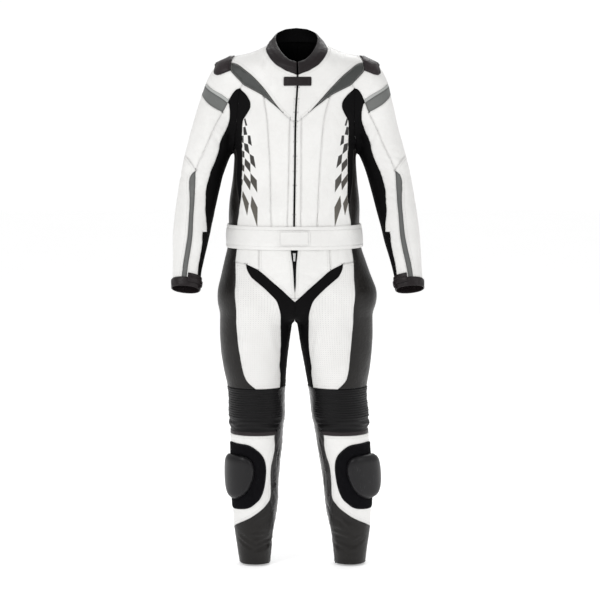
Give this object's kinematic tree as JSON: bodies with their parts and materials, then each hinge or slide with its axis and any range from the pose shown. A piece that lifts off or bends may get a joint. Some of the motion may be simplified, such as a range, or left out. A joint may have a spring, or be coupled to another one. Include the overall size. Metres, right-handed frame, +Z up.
{
  "type": "motorcycle race suit",
  "caption": "Two-piece leather motorcycle race suit, hollow and filled out with no wearer, with a standing collar, belt, zips, stretch panels, shoulder cups and knee sliders.",
  "frame": {"origin": "middle of the neck base, where the wearer's shoulders carry the suit", "axes": "+Z up, -Y the way the suit faces, +X the wearer's left"},
  "size_m": [0.674, 0.2586, 1.4489],
  "materials": {
    "white_leather": "soft satin grain, slightly worn",
    "black_leather": "satin grain with a brown cast",
    "grey_leather": "satin grain",
    "charcoal_leather": "satin grain",
    "black_stretch": "matt ribbed stretch cloth",
    "loop_pile": "matt loop pile",
    "hard_plastic": "scuffed moulded plastic",
    "zip_tape": "matt woven tape",
    "zip_metal": "plated"
  },
  "bodies": {
    "suit": {"accordion_left": "black_stretch", "accordion_right": "black_stretch", "arm_band_left": "grey_leather", "arm_band_right": "grey_leather", "back_panel_left": "white_leather", "back_panel_right": "white_leather", "belt": "white_leather", "belt_tab": "white_leather", "calf_left": "charcoal_leather", "calf_right": "charcoal_leather", "chest_side_left": "white_leather", "chest_side_right": "white_leather", "chest_wedge_left": "grey_leather", "chest_wedge_right": "grey_leather", "chest_yoke_left": "white_leather", "chest_yoke_right": "white_leather", "collar": "black_leather", "cuff_left": "black_leather", "cuff_right": "black_leather", "fly_slider": "zip_metal", "fly_zip": "zip_tape", "forearm_left": "white_leather", "forearm_right": "white_leather", "forearm_stripe_left": "grey_leather", "forearm_stripe_right": "grey_leather", "front_centre_left": "white_leather", "front_centre_right": "white_leather", "gusset_left": "black_stretch", "gusset_right": "black_stretch", "hip_front_left": "white_leather", "hip_front_right": "white_leather", "jacket_zip": "zip_tape", "knee_panel_left": "white_leather", "knee_panel_right": "white_leather", "knee_slider_left": "hard_plastic", "knee_slider_right": "hard_plastic", "shoulder_cup_left": "black_leather", "shoulder_cup_right": "black_leather", "side_leather_left": "charcoal_leather", "side_leather_right": "charcoal_leather", "side_stretch_left": "black_stretch", "side_stretch_right": "black_stretch", "sleeve_cap_left": "white_leather", "sleeve_cap_right": "white_leather", "sleeve_front_left": "white_leather", "sleeve_front_right": "white_leather", "thigh_front_left": "white_leather", "thigh_front_right": "white_leather", "thigh_side_left": "charcoal_leather", "thigh_side_right": "charcoal_leather", "throat_tab": "black_leather", "trouser_back_left": "charcoal_leather", "trouser_back_right": "charcoal_leather", "underarm_stretch_left": "black_stretch", "underarm_stretch_right": "black_stretch", "upper_arm_left": "white_leather", "upper_arm_right": "white_leather", "velcro_left": "loop_pile", "velcro_right": "loop_pile"},
    "pull": {"fly_pull": "zip_metal"}
  },
  "joints": [
    {"name": "fly_pull_hinge", "type": "hinge", "parent": "suit", "child": "pull", "pos_m": [-0.00455, -0.12028, -0.513], "axis": [-1, 0, 0], "range_deg": [0, 95]}
  ]
}
